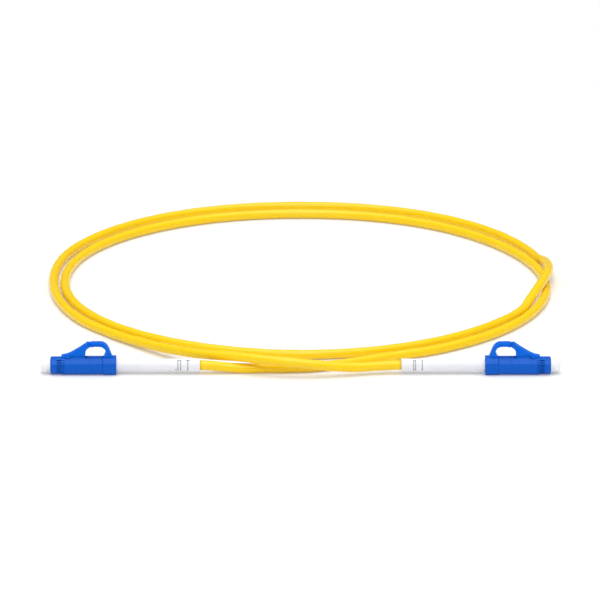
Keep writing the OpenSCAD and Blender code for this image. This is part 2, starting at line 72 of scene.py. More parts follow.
# %% [markdown]
# ## The camera
# A small object keeps its proportions best through a long lens from well back, because near and far parts
# then come out almost the same size. The camera stands low, 17.7 degrees over the table, two and a half
# metres away. It is placed by an angle and a distance, which is easier to change than three coordinates.

# %% Camera
CAMERA_ELEVATION = math.radians(17.7)
CAMERA_DISTANCE = 2.5
FOCAL_LENGTH = 473.4
LOOK_AT = Vector((-0.2, 74.35, 0)) * MM


def put(name, data):
    """A new object in the scene, at the origin."""
    made = bpy.data.objects.new(name, data)
    bpy.context.scene.collection.objects.link(made)
    return made


def aim(item, elevation, distance):
    """Stands a camera or a lamp in front of LOOK_AT, raised by an angle, and turns it to that point."""
    backwards = Vector((0, -math.cos(elevation), math.sin(elevation)))
    item.location = LOOK_AT + distance * backwards
    item.rotation_euler = (-backwards).to_track_quat("-Z", "Y").to_euler()


lens = bpy.data.cameras.new("catalogue_lens")
lens.sensor_width = 36
lens.lens = FOCAL_LENGTH
lens.clip_start = 0.1
lens.clip_end = 50
camera = put("catalogue_camera", lens)
aim(camera, CAMERA_ELEVATION, CAMERA_DISTANCE)
bpy.context.scene.camera = camera
print("camera at", [round(value, 3) for value in camera.location])

# %% [markdown]
# ## The way that the cable takes
# A real cord is one unbroken length, so it is drawn as one line first. From the left plug's boot it lies
# along the table and runs round nearly twice. At the right end the second round rolls over the first, and
# from there it lies outside it. At the front it rises, passes over the left stretch and dips into the right
# plug's boot. The two stretches beside the plugs are given point by point. For the rounds a table says how
# far each place strays from a true circle, because a cable that was wound by hand is never quite round.

# %% Places on the route, in millimetres
CABLE_D = 3.0
LOOP_R = 77.6
LOOP_CENTRE_Y = 85.0
LYING_Z = CABLE_D / 2
PASS_PITCH = CABLE_D + 0.53
TABLE_STEP = 30
LOOP_STEP = 5
ROLL_FROM, ROLL_TO = 429, 471

left_stretch = [
    (-31, 0, 2.7), (-28, 0, 2.6), (-22, 0.2, 1.9), (-16, 0.5, 1.5), (-10, 0.8, 1.5), (-4, 1, 1.5),
    (2, 1.5, 1.5), (8, 3, 1.5), (14, 5.4, 1.5), (20, 8.3, 1.5), (26, 11.3, 1.5), (32, 14.1, 1.5),
]
radius_change = [
    0.5, 0.6, 0.5, -0.2, 0.4, 0, 0.4, -0.2, -2.7, -4.9, -6.7,
    -6.65, -6.1, -4.1, 0.4, 4.9, 8.2, 8.4, 8.2, 5.3, 0.9, -0.1,
]
right_stretch = [
    (-62.2, 39.4, 1.55), (-57, 32.8, 1.7), (-51.3, 26.3, 2), (-44.8, 19.3, 2.5), (-38, 12.9, 3.2),
    (-31.5, 7.4, 3.95), (-25, 3.5, 4.7), (-19, 0.8, 5.15), (-13, -1.5, 5.15), (-7, -3, 5), (-1, -3.7, 4.65),
    (5, -3.7, 4), (11, -3, 3.15), (17, -1.8, 2.6), (23, -0.6, 2.55), (28, 0, 2.7), (31, 0, 2.7),
]
print("places beside the plugs:", len(left_stretch) + len(right_stretch))

# %% [markdown]
# A point of the rounds comes from its angle, counted from the front. The radius is read between the table's
# values on a smooth curve. Where the second round rolls over the first, it goes round it in a half circle.

# %% The rounds and the whole route


def between(before, start, end, after, t):
    """The place at share t of the way from start to end on a Catmull-Rom curve."""
    return 0.5 * (2 * start + (end - before) * t + (2 * before - 5 * start + 4 * end - after) * t**2
                  + (3 * start - before - 3 * end + after) * t**3)


def table_radius(angle):
    """The loops' radius at an angle, read between the table's values."""
    place = angle / TABLE_STEP - 1
    index = min(int(place), len(radius_change) - 2)
    padded = radius_change[:1] + radius_change + radius_change[-1:]
    return LOOP_R + between(*padded[index : index + 4], place - index)


def loop_point(angle):
    """A point of the loops. Where the second round rolls over the first, it stays one pitch away."""
    radius, height = table_radius(angle), LYING_Z
    if ROLL_FROM < angle < ROLL_TO:
        roll = math.pi * (angle - ROLL_FROM) / (ROLL_TO - ROLL_FROM)
        radius = table_radius(angle - 360) - PASS_PITCH * math.cos(roll)
        height += PASS_PITCH * math.sin(roll)
    turn = math.radians(angle)
    return radius * math.sin(turn), LOOP_CENTRE_Y - radius * math.cos(turn), height


loop_end = TABLE_STEP * len(radius_change)
loops = [loop_point(angle) for angle in range(TABLE_STEP, loop_end + 1, LOOP_STEP)]
route = [Vector(point) for point in left_stretch + loops + right_stretch]
print("points on the route:", len(route))

# %% [markdown]
# A line through chosen points has corners. A Catmull-Rom curve passes through every point and turns
# smoothly between them, so the places stay where they were put. The curve is then cut into even steps,
# short enough that the cable shows no flats.

# %% Smooth the route
RING_STEP = 1.2


def smooth_line(points, step):
    """A Catmull-Rom curve through the points, cut into steps of about that length."""
    ends = [2 * points[0] - points[1]] + points + [2 * points[-1] - points[-2]]
    line = []
    for before, start, end, after in zip(ends, ends[1:], ends[2:], ends[3:]):
        count = max(2, math.ceil((end - start).length / step))
        line += [between(before, start, end, after, index / count) for index in range(count)]
    return line + [points[-1]]


centre_line = smooth_line(route, RING_STEP)

# %% [markdown]
# ## Small helpers
# Every finish below is a small tree of shader nodes. Writing out three lines for each node hides what the
# tree does, so one function adds a node, sets its inputs and links it. Colours are given as they look on a
# screen, in hex, and one function turns them to the linear values that a shader works with.

# %% Helpers for colours and nodes


def linear(hex_colour):
    """An sRGB hex colour such as #FDD61C as the linear colour that a shader uses."""
    parts = [int(hex_colour[i : i + 2], 16) / 255 for i in (1, 3, 5)]
    return [c / 12.92 if c <= 0.04045 else ((c + 0.055) / 1.055) ** 2.4 for c in parts] + [1.0]


def add_to(tree, node, inputs):
    """Sets or links the inputs of a node: a socket is linked, and anything else is a value."""
    for name, value in inputs.items():
        if isinstance(value, bpy.types.NodeSocket):
            tree.links.new(value, node.inputs[name])
        else:
            node.inputs[name].default_value = value


def add(tree, kind, inputs=None, **settings):
    """Adds a node. Settings are its own properties; inputs are values, or sockets to link from."""
    node = tree.nodes.new(kind)
    for name, value in settings.items():
        setattr(node, name, value)
    add_to(tree, node, inputs or {})
    return node


def new_finish(name):
    """An empty material with a surface shader, ready for its values."""
    material = bpy.data.materials.new(name)
    material.use_nodes = True
    tree = material.node_tree
    return material, tree, tree.nodes["Principled BSDF"]


print("yellow as the shader sees it:", [round(value, 3) for value in linear("#FDD61C")])

# %% [markdown]
# ## The cable's jacket
# The jacket is soft PVC, pushed out hot through a ring-shaped die. That leaves a smooth, slightly waxy skin
# with very faint lines along the cable, and it is never quite even, because soft yarn lies loose below it.
# Noise that is stretched along the cable gives the die lines, and slower noise gives the unevenness. Both
# follow the cable because they read a place that is stored on its skin: round the cable in two numbers, and
# along it in the third.

# %% Finish: extruded PVC
DIE_LINE = 0.3
SKIN_WAVE = 7.0
DRAWN_OUT = 0.03
LINE_SHARE = 0.25
JACKET_GLOSS = (0.25, 0.28)


def extruded_pvc(hex_colour, deep_colour):
    """Soft PVC jacket: waxy and half glossy, with faint lines along its length and a slow unevenness."""
    material, tree, surface = new_finish("extruded PVC jacket")
    skin = add(tree, "ShaderNodeAttribute", attribute_name="skin_place").outputs["Vector"]
    along = add(tree, "ShaderNodeVectorMath", {0: skin, 1: (1, 1, DRAWN_OUT)},
                operation="MULTIPLY").outputs[0]
    lines = add(tree, "ShaderNodeTexNoise", {"Vector": along, "Scale": 1 / DIE_LINE}).outputs[0]
    waves = add(tree, "ShaderNodeTexNoise", {"Vector": skin, "Scale": 1 / SKIN_WAVE,
                                             "Detail": 1.0}).outputs[0]
    tint = add(tree, "ShaderNodeMix", {"Factor": waves, "A": linear(hex_colour), "B": linear(deep_colour)},
               data_type="RGBA").outputs["Result"]
    gloss = add(tree, "ShaderNodeMapRange", {"Value": lines, "To Min": JACKET_GLOSS[0],
                                             "To Max": JACKET_GLOSS[1]}).outputs["Result"]
    height = add(tree, "ShaderNodeMath", {0: lines, 1: LINE_SHARE, 2: waves},
                 operation="MULTIPLY_ADD").outputs[0]
    bump = add(tree, "ShaderNodeBump", {"Height": height, "Distance": 0.008 * MM, "Strength": 0.4}).outputs[0]
    add_to(tree, surface, {"Base Color": tint, "Roughness": gloss, "Normal": bump, "IOR": 1.5,
                           "Specular IOR Level": 0.4})
    return material


jacket = extruded_pvc("#FED70C", "#FCD004")
print("made", jacket.name)

# %% [markdown]
# ## The cable
# A cable is a round section carried along a line. A curve with a bevel would do for the shape, but here
# each ring is made in code, because then every point can store its own place on the skin, which the finish
# reads. The ring stands square to the line, and "up" keeps it from twisting, since the line never points
# straight up. The jacket is 3.0 mm thick. Some 0.02 mm of slow swelling shows that soft yarn lies below it.

# %% Sweep a tube
CABLE_SIDES = 20
SWELL = 0.02
SWELL_EVERY = 11.0


def as_mesh(shape, name):
    """Turns a shape that was made in code into a mesh."""
    mesh = bpy.data.meshes.new(name)
    shape.to_mesh(mesh)
    shape.free()
    return mesh


def swept_tube(name, line, diameter, sides, swell):
    """A round tube along a line in millimetres, closed at both ends, with its place on the skin stored."""
    shape = bmesh.new()
    place = shape.verts.layers.float_vector.new("skin_place")
    rings, travelled = [], 0.0
    for index, centre in enumerate(line):
        ahead = line[min(index + 1, len(line) - 1)] - line[max(index - 1, 0)]
        across = Vector((0, 0, 1)).cross(ahead).normalized()
        upward = ahead.normalized().cross(across)
        if index:
            travelled += (centre - line[index - 1]).length
        radius = diameter / 2 - swell + swell * math.sin(travelled * math.tau / SWELL_EVERY)
        ring = []
        for side in range(sides):
            angle = math.tau * side / sides
            offset = radius * (math.cos(angle) * across + math.sin(angle) * upward)
            vertex = shape.verts.new((centre + offset) * MM)
            vertex[place] = (radius * math.cos(angle), radius * math.sin(angle), travelled)
            ring.append(vertex)
        rings.append(ring)
    for ring, following in zip(rings, rings[1:]):
        for side in range(sides):
            after = (side + 1) % sides
            shape.faces.new((ring[side], ring[after], following[after], following[side])).smooth = True
    shape.faces.new(reversed(rings[0]))
    shape.faces.new(rings[-1])
    return put(name, as_mesh(shape, name))


print("ready: a tube with", CABLE_SIDES, "sides")

# %% [markdown]
# The cable is one free cord. It is swept with its diameter along the line that it follows, and it stands for
# the three plain solids of the construction.

# %% Add the cable
cable = swept_tube("cable", centre_line, CABLE_D, CABLE_SIDES, SWELL)
cable.data.materials.append(jacket)
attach(cable, ROOT)
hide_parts("cable_lead_left", "cable_coil", "cable_lead_right")
print("cable faces:", len(cable.data.polygons))

# %% [markdown]
# ## Plugs, in their own measure
# Both plugs are the same product, turned half way round. So every piece of a plug is drawn once in the
# plug's own measure: u counts millimetres from the nose's front face towards the cable, across is sideways,
# and v is the height over the plug's axis. One function carries a finished mesh from there to the left or
# the right end. The nose's place and the axis' height are read from the construction, so nothing has to be
# fitted.

# %% From the plug's measure to the table
NOSE_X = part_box("right_front_housing")[1].x / MM
AXIS_Z = sum(corner.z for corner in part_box("right_collar")) / 2 / MM
MERGE = 0.001 * MM
CLOSE = 0.01
CREASE = math.radians(35)


def place_at(side, mesh):
    """Turns a mesh in (u, across, v) millimetres into metres at the left or the right end."""
    turn = SIDES[side]
    for vertex in mesh.vertices:
        u, across, v = vertex.co
        vertex.co = (turn * (NOSE_X - u) * MM, turn * -across * MM, (AXIS_Z + v) * MM)


def finish_mesh(mesh):
    """Closes doubles, turns every face outwards and shades soft bends smooth."""
    shape = bmesh.new()
    shape.from_mesh(mesh)
    bmesh.ops.remove_doubles(shape, verts=shape.verts, dist=MERGE)
    bmesh.ops.recalc_face_normals(shape, faces=shape.faces)
    shape.to_mesh(mesh)
    shape.free()
    mesh.shade_smooth()
    mesh.set_sharp_from_angle(angle=CREASE)


def dress(piece, material):
    """Gives a piece one material slot with its one finish."""
    piece.data.materials.clear()
    piece.data.materials.append(material)


def add_piece(name, mesh, body, replaced, material):
    """Puts a finished mesh in the scene, on its body, in its finish and in place of a plain solid."""
    piece = put(name, mesh)
    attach(piece, body)
    dress(piece, material)
    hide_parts(*replaced)
    return piece


print("nose at", round(NOSE_X, 2), "mm, axis", round(AXIS_Z, 2), "mm over the table")

# %% [markdown]
# ## Moulded plastics
# The blue body is a stiff moulded plastic. Its mould was spark-eroded, which leaves a fine even grain that
# takes the shine off, and its corners are a little round because the mould's cutter was. The boot and the
# cap are softer and white. The finishes differ only in colour, gloss and grain, so one function makes them.
# The latch and the trigger are thin, and they are painted a shade lighter than the body as painted light,
# though they are the same plastic. The Bevel node softens how the light falls on edges that are too small to
# model. Slots and seams get painted shade, so they read as dark lines: a spot whose view is blocked more than
# an open corner's is painted darker. How far it looks for walls is its reach, which is longer for the boot's
# wide slots.

# %% Finish: moulded plastic
# Painted shade in recesses: its darkest colour is this share of the shade colour, and it looks this far for
# walls.
PAINTED_SHADE_SHARE = 0.12
RECESS_REACH = 0.2
SLOT_REACH = 0.45
OPEN_CORNER = 0.5
BLOTCH = 3
GLOSS_SPREAD = 0.05
GLOW_DEPTH = 0.4


def moulded_plastic(name, hex_colour, shade_colour, roughness, grain, depth, edge, specular=0.5, glow=0.0,
                    open_corner=OPEN_CORNER, reach=RECESS_REACH):
    """A moulded thermoplastic with painted shade in its narrow recesses. grain, depth, edge and reach are in
    millimetres; reach is how far the painted shade looks for walls, and glow is the share of the light that
    creeps below the surface."""
    painted_shade_colour = [PAINTED_SHADE_SHARE * c for c in linear(shade_colour)[:3]] + [1]
    material, tree, surface = new_finish(name)
    spot = add(tree, "ShaderNodeTexCoord").outputs["Object"]
    fine = add(tree, "ShaderNodeTexNoise", {"Vector": spot, "Scale": 1 / (grain * MM)}).outputs[0]
    broad = add(tree, "ShaderNodeTexNoise", {"Vector": spot, "Scale": 1 / (BLOTCH * MM)}).outputs[0]
    tint = add(tree, "ShaderNodeMix", {"Factor": broad, "A": linear(hex_colour), "B": linear(shade_colour)},
               data_type="RGBA").outputs["Result"]
    # Painted shade: a spot whose view is blocked more than an open corner's is mixed towards a dark colour.
    openness = add(tree, "ShaderNodeAmbientOcclusion", {"Distance": reach * MM}, samples=8).outputs["AO"]
    lit = add(tree, "ShaderNodeMapRange", {"Value": openness, "From Max": open_corner}).outputs["Result"]
    tint = add(tree, "ShaderNodeMix", {"Factor": lit, "A": painted_shade_colour, "B": tint},
               data_type="RGBA").outputs["Result"]
    gloss = add(tree, "ShaderNodeMapRange", {"Value": broad, "To Min": roughness - GLOSS_SPREAD,
                                             "To Max": roughness + GLOSS_SPREAD}).outputs["Result"]
    rounded = add(tree, "ShaderNodeBevel", {"Radius": edge * MM}, samples=4).outputs[0]
    bump = add(tree, "ShaderNodeBump", {"Height": fine, "Distance": depth * MM, "Strength": 0.5,
                                        "Normal": rounded}).outputs[0]
    add_to(tree, surface, {"Base Color": tint, "Roughness": gloss, "Normal": bump, "IOR": 1.5,
                           "Specular IOR Level": specular, "Subsurface Weight": glow,
                           "Subsurface Radius": (1.0, 1.0, 1.0), "Subsurface Scale": GLOW_DEPTH * MM})
    return material


body_plastic = moulded_plastic("spark-grained blue plastic", "#005FCC", "#005BC6", 0.34, 0.09, 0.004,
                               0.08, specular=0.15)
# Painted light: the latch, the trigger and the webs get a lighter blue than the body, though they are the
# same plastic.
arm_plastic = moulded_plastic("spark-grained blue plastic painted lighter", "#026CE4", "#0168DE", 0.36, 0.09, 0.004,
                              0.08, specular=0.1)
boot_plastic = moulded_plastic("moulded soft PVC", "#EFF0F4", "#ECEDF2", 0.5, 0.12, 0.004, 0.06,
                               specular=0.15, glow=0.1, open_corner=0.8, reach=SLOT_REACH)
cap_plastic = moulded_plastic("moulded polyethylene", "#F6F6F9", "#F2F3F7", 0.38, 0.2, 0.002, 0.1,
                              specular=0.15, glow=0.2)
print("made", body_plastic.name, "-", arm_plastic.name, "-", boot_plastic.name, "-", cap_plastic.name)

# %% [markdown]
# ## Metals, ceramic, glass and yarn
# These lie inside the plug and show only when it is taken apart or a cap is pulled off. Each is still
# finished as what it is: turned metal has rings round its axis, drawn wire is bright, zirconia is polished
# like a bead, and yarn has its strands.

# %% Finish: turned metal


def turned_metal(name, hex_colour, roughness, ring_step):
    """Metal turned on a lathe: fine rings stand across the axis, ring_step millimetres apart."""
    material, tree, surface = new_finish(name)
    spot = add(tree, "ShaderNodeTexCoord").outputs["Object"]
    squeezed = add(tree, "ShaderNodeVectorMath", {0: spot, 1: (1, 0.05, 0.05)},
                   operation="MULTIPLY").outputs[0]
    rings = add(tree, "ShaderNodeTexNoise", {"Vector": squeezed, "Scale": 1 / (ring_step * MM)}).outputs[0]
    gloss = add(tree, "ShaderNodeMapRange", {"Value": rings, "To Min": roughness - 0.06,
                                             "To Max": roughness + 0.08}).outputs["Result"]
    bump = add(tree, "ShaderNodeBump", {"Height": rings, "Distance": 0.004 * MM, "Strength": 0.4}).outputs[0]
    add_to(tree, surface, {"Base Color": linear(hex_colour), "Metallic": 1.0, "Roughness": gloss,
                           "Normal": bump})
    return material


plated = turned_metal("nickel-plated brass", "#C9CCD1", 0.22, 0.05)
print("made", plated.name)

# %% [markdown]
# Zirconia and glass are dense and polished, with a trace of cloud in their colour. Yarn is the opposite:
# its strands lie side by side, so noise is drawn out along them and colours and lifts each strand a little.

# %% Finishes: polished bodies and yarn
CLOUD_SIZE = 0.8


def polished(name, hex_colour, roughness, ior, cloudiness):
    """A dense polished body such as zirconia or glass, with a trace of cloud in its colour."""
    material, tree, surface = new_finish(name)
    spot = add(tree, "ShaderNodeTexCoord").outputs["Object"]
    darker = [c * (1 - cloudiness) for c in linear(hex_colour)[:3]] + [1]
    cloud = add(tree, "ShaderNodeTexNoise", {"Vector": spot, "Scale": 1 / (CLOUD_SIZE * MM)}).outputs[0]
    tint = add(tree, "ShaderNodeMix", {"Factor": cloud, "A": linear(hex_colour), "B": darker},
               data_type="RGBA").outputs["Result"]
    add_to(tree, surface, {"Base Color": tint, "Roughness": roughness, "IOR": ior})
    return material


def yarn(name, hex_colour, strand):
    """Straight strands laid side by side, strand millimetres thick."""
    material, tree, surface = new_finish(name)
    spot = add(tree, "ShaderNodeTexCoord").outputs["Object"]
    drawn = add(tree, "ShaderNodeVectorMath", {0: spot, 1: (DRAWN_OUT, 1, 1)},
                operation="MULTIPLY").outputs[0]
    strands = add(tree, "ShaderNodeTexNoise", {"Vector": drawn, "Scale": 1 / (strand * MM),
                                               "Detail": 1.0}).outputs[0]
    dark = [0.75 * c for c in linear(hex_colour)[:3]] + [1]
    tint = add(tree, "ShaderNodeMix", {"Factor": strands, "A": dark, "B": linear(hex_colour)},
               data_type="RGBA").outputs["Result"]
    bump = add(tree, "ShaderNodeBump", {"Height": strands, "Distance": 0.03 * MM, "Strength": 0.7}).outputs[0]
    add_to(tree, surface, {"Base Color": tint, "Roughness": 0.55, "Normal": bump, "Sheen Weight": 0.2})
    return material


print("ready: polished bodies and yarn")

# %% [markdown]
# The inner pieces keep the solids of the construction and only get their finish. The cable's end inside the
# boot gets the jacket's.

# %% Dress the inner pieces
inner_finishes = {
    "ferrule": (polished("polished zirconia", "#F7F4EC", 0.12, 2.1, 0.03), "zirconia"),
    "glass_fiber": (polished("drawn silica glass", "#EEF4F6", 0.05, 1.46, 0.02), "glass"),
    "buffered_fiber": (polished("tight buffer", "#F4F2EA", 0.4, 1.5, 0.05), "buffer"),
    "ferrule_holder": (plated, "nickel_plated"),
    "crimp_sleeve": (turned_metal("pressed nickel silver", "#C3C3C0", 0.3, 0.12), "nickel_plated"),
    "crimp_body": (turned_metal("turned brass", "#C8AE6A", 0.25, 0.06), "brass"),
    "aramid_yarn": (yarn("aramid yarn", "#E8C84A", 0.12), "aramid"),
}
for side in SIDES:
    for part, (material, slot) in inner_finishes.items():
        dress(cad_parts[f"{side}_{part}"], material)
    dress(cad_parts[f"{side}_cable_end"], jacket)
print("inner pieces finished:", 2 * (len(inner_finishes) + 1))

# %% [markdown]
# ## Blue pieces
# The construction's blue solids already have the right shape, but their edges are knife sharp and no
# moulded edge is. A copy of each gets softer edges and takes the solid's place. Before that, some get a
# detail of their own. Along the finger window the sides of the latch and the trigger lean inwards, and the
# leaning strip shows as a darker rim. The strip is made by cutting edge loops into the arm and then moving
# the points below them in, each by its share. Below the trigger's bar they also hang a little lower.

# %% Undercut along the finger window
RIM_DEPTH = 0.5
RIM_HEIGHT = 0.8
ARCH_UNDER = 6.32
ARCH_SAG = 0.25
RIM_END = 16.6
RIM_FADE = 1.4
RIM_CUTS = 8
RIM_CUT_STEP = 0.35
RIM_MARGIN = 0.05
LATCH_RIM = (10.8, 5.1)
LATCH_RIM_SLOPE = (0.616, 0.788)
LATCH_RIM_FADE = 0.6
LATCH_RIM_MOST = 0.7
LATCH_RIM_LOWEST = LATCH_RIM[1] - 0.25


def cut(shape, turn, point, slope):
    """Adds an edge loop where a line through (u, v), with a slope in the same plane, crosses the faces."""
    u, v = point
    along_u, along_v = slope
    everything = shape.verts[:] + shape.edges[:] + shape.faces[:]
    bmesh.ops.bisect_plane(shape, geom=everything, dist=1e-7,
                           plane_co=(turn * (NOSE_X - u) * MM, 0, (AXIS_Z + v) * MM),
                           plane_no=(turn * along_v, 0, along_u))


def undercut_rim(shape, hidden_share, sag=0.0):
    """Moves the lower points of an arm's side in, and down by sag. hidden_share gives a place's share."""
    half_width = max(abs(vertex.co.y) for vertex in shape.verts)
    for vertex in shape.verts:
        share = hidden_share(NOSE_X - abs(vertex.co.x) / MM, vertex.co.z / MM - AXIS_Z)
        if abs(vertex.co.y) > half_width - CLOSE * MM and share > 0:
            vertex.co.y -= math.copysign(RIM_DEPTH * share * MM, vertex.co.y)
            vertex.co.z -= sag * share * MM


def trigger_rim(u, v):
    """All of the bar's lower edge, and less and less of the rear leg's."""
    return min(max((RIM_END - u) / RIM_FADE, 0), 1) if v < ARCH_UNDER + RIM_MARGIN else 0


def latch_rim(u, v):
    """The lower edge of the prong, more and more towards its end."""
    along_u, along_v = LATCH_RIM_SLOPE
    below_line = (u - LATCH_RIM[0]) * along_v - (v - LATCH_RIM[1]) * along_u
    return min(max(below_line / LATCH_RIM_FADE, 0), LATCH_RIM_MOST) if v > LATCH_RIM_LOWEST else 0


print("share of the undercut below the bar:", trigger_rim(14, ARCH_UNDER), "- and on the leg:",
      round(trigger_rim(16, ARCH_UNDER), 2))

# %% [markdown]
# The front housing has two rails beside the latch. Their feet are moved onto the flat of the body's top, so
# that nothing overhangs and no line shows below them. Behind the nose it has its grip slots, whose lips are
# crisp, so those edges are left out of the softening.

# %% Rails and grip slots
RAIL_TOP_HALF, RAIL_FOOT_HALF = 1.42, 1.533
RAIL_FOOT_HEIGHT = 0.1
TOP_FLAT_HALF = 1.55
BODY_TOP = 2.5
GRIP_FROM, GRIP_TO = 1.9, 4.45
SKIN = 1.2


def plug_place(vertex):
    """A point of a construction piece in the plug's measure: u, the distance from the middle, and v."""
    x, y, z = vertex.co / MM
    return NOSE_X - abs(x), abs(y), z - AXIS_Z


def seat_rails(shape):
    """Stands the two rails on the flat of the body's top, without an overhang."""
    for vertex in shape.verts:
        u, half, v = plug_place(vertex)
        if half > TOP_FLAT_HALF and v > BODY_TOP - CLOSE:
            half = RAIL_FOOT_HALF if v < BODY_TOP + RAIL_FOOT_HEIGHT else RAIL_TOP_HALF
            vertex.co.y = math.copysign(half * MM, vertex.co.y)
    bmesh.ops.remove_doubles(shape, verts=shape.verts, dist=MERGE)
    bmesh.ops.dissolve_degenerate(shape, dist=MERGE, edges=shape.edges)


def in_grip(edge):
    """Whether an edge belongs to the grip slots, whose lips stay sharp."""
    places = [plug_place(vertex) for vertex in edge.verts]
    return all(GRIP_FROM < u < GRIP_TO and half > SKIN for u, half, v in places)


print("grip slots from u", GRIP_FROM, "to", GRIP_TO)

# %% [markdown]
# A bevel between two large flat faces should look round without making the faces look bent. So the large
# faces decide the normals at their corners, which is what the Weighted Normal modifier does.

# %% Weigh the normals


def weighted_normals(mesh):
    """Lets large faces decide the normals at their corners, so they look flat and their bevels round."""
    carrier = put("carrier", mesh)
    modifier = carrier.modifiers.new("weigh normals", "WEIGHTED_NORMAL")
    modifier.keep_sharp = True
    made = bpy.data.meshes.new_from_object(carrier.evaluated_get(bpy.context.evaluated_depsgraph_get()))
    bpy.data.objects.remove(carrier)
    return made


print("ready: weighted normals")

# %% [markdown]
# Now each blue solid is copied. The copy is merged from loose triangles into real faces, gets its detail,
# and its long outer edges get a small bevel. Where two pieces meet, the two bevels make the fine groove
# that shows as a seam.

# %% Soften a copy
EDGE = 0.09
LONG_ENOUGH = 0.5
SHARP_ENOUGH = math.radians(28)
BLUE_CREASE = math.radians(25)
FLAT_ENOUGH = math.radians(1)


def softened(node, name):
    """A copy of a construction piece with its long sharp outer edges bevelled."""
    shape = bmesh.new()
    shape.from_mesh(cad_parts[node].data)
    bmesh.ops.remove_doubles(shape, verts=shape.verts, dist=MERGE)
    bmesh.ops.dissolve_limit(shape, angle_limit=FLAT_ENOUGH, verts=shape.verts, edges=shape.edges)
    turn = SIDES[node.split("_")[0]]
    if node.endswith("front_housing"):
        seat_rails(shape)
    if node.endswith("trigger"):
        cut(shape, turn, (0, ARCH_UNDER + RIM_HEIGHT), (1, 0))
        for step in range(RIM_CUTS):
            cut(shape, turn, (RIM_END - RIM_CUT_STEP * step, 0), (0, 1))
        undercut_rim(shape, trigger_rim, ARCH_SAG)
    if node.endswith("latch"):
        cut(shape, turn, LATCH_RIM, LATCH_RIM_SLOPE)
        undercut_rim(shape, latch_rim)
    edges = [
        edge for edge in shape.edges
        if len(edge.link_faces) == 2
        and edge.calc_face_angle_signed() > SHARP_ENOUGH
        and edge.calc_length() > LONG_ENOUGH * MM
        and not in_grip(edge)
    ]
    bmesh.ops.bevel(shape, geom=edges, offset=EDGE * MM, segments=2, profile=0.5, affect="EDGES",
                    clamp_overlap=True)
    bmesh.ops.recalc_face_normals(shape, faces=shape.faces)
    mesh = as_mesh(shape, "softened")
    mesh.shade_smooth()
    mesh.set_sharp_from_angle(angle=BLUE_CREASE)
    mesh = weighted_normals(mesh)
    mesh.name = name
    print(name, "bevelled edges:", len(edges), "faces:", len(mesh.polygons))
    return mesh


print("edges sharper than", round(math.degrees(SHARP_ENOUGH)), "degrees get a bevel of", EDGE, "mm")

# %% [markdown]
# The housings and the collar move with the plug, and the latch and the trigger each have a body of their
# own. Both ends get the same five pieces.

# %% Blue pieces at both ends
blue_parts = {
    "front_housing": ROOT, "rear_housing": ROOT, "collar": ROOT,
    "latch": "{side}_latch_arm", "trigger": "{side}_trigger_arm",
}
for side in SIDES:
    for part, body in blue_parts.items():
        node = f"{side}_{part}"
        name = f"{node}_moulding"
        plastic = arm_plastic if part in ("latch", "trigger") else body_plastic
        add_piece(name, softened(node, name), body.format(side=side), [node], plastic)
print("blue pieces:", len(SIDES) * len(blue_parts))

# %% [markdown]
# ## Living hinge
# The trigger's foot is moulded onto the collar through a thin web, and the web bends when the trigger is
# pressed.

# %% Webs below the triggers
WEB_FROM, WEB_TO = 16.5, 19.1
WEB_LOW, WEB_HIGH = 2.65, 2.95
WEB_WIDTH = 2.2
WEB_PARTS = 6


def web_mesh(name):
    """A flat closed block, divided along its length so that it can bend."""
    shape = bmesh.new()
    rings = []
    for step in range(WEB_PARTS + 1):
        u = WEB_FROM + (WEB_TO - WEB_FROM) * step / WEB_PARTS
        corners = [(-1, WEB_LOW), (1, WEB_LOW), (1, WEB_HIGH), (-1, WEB_HIGH)]
        rings.append([shape.verts.new((u, side * WEB_WIDTH / 2, v)) for side, v in corners])
    for ring, after in zip(rings, rings[1:]):
        for i in range(4):
            shape.faces.new((ring[i], ring[i - 1], after[i - 1], after[i]))
    shape.faces.new(rings[0])
    shape.faces.new(rings[-1])
    return as_mesh(shape, name)


for side, turn in SIDES.items():
    mesh = web_mesh(f"{side}_trigger_hinge")
    place_at(side, mesh)
    finish_mesh(mesh)
    mesh.materials.append(arm_plastic)
    web = put(mesh.name, mesh)
    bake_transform(web)
    print(web.name, "faces:", len(mesh.polygons))

# %% [markdown]
# ## Turned pieces from one rule
# The boot and the cap are round. Their shape is a rule: take an outline, and turn it about the plug's axis.
# In Geometry Nodes the rule becomes a grid whose rows are the outline's points and whose columns are steps
# of the turn; each grid point asks the outline for its u and its radius and moves there. The outline can
# change at any time and the piece follows. The last two nodes before the output are Realize Instances and
# Set Material, so that the result exports whole.

# %% Build the turning tree


def new_rule(name, output, inputs):
    """An empty geometry tree with one output and its named inputs, and the sockets of those inputs."""
    tree = bpy.data.node_groups.new(name, "GeometryNodeTree")
    for label, kind in inputs.items():
        tree.interface.new_socket(label, in_out="INPUT", socket_type=f"NodeSocket{kind}")
    tree.interface.new_socket(output, in_out="OUTPUT", socket_type="NodeSocketGeometry")
    return tree, add(tree, "NodeGroupInput").outputs


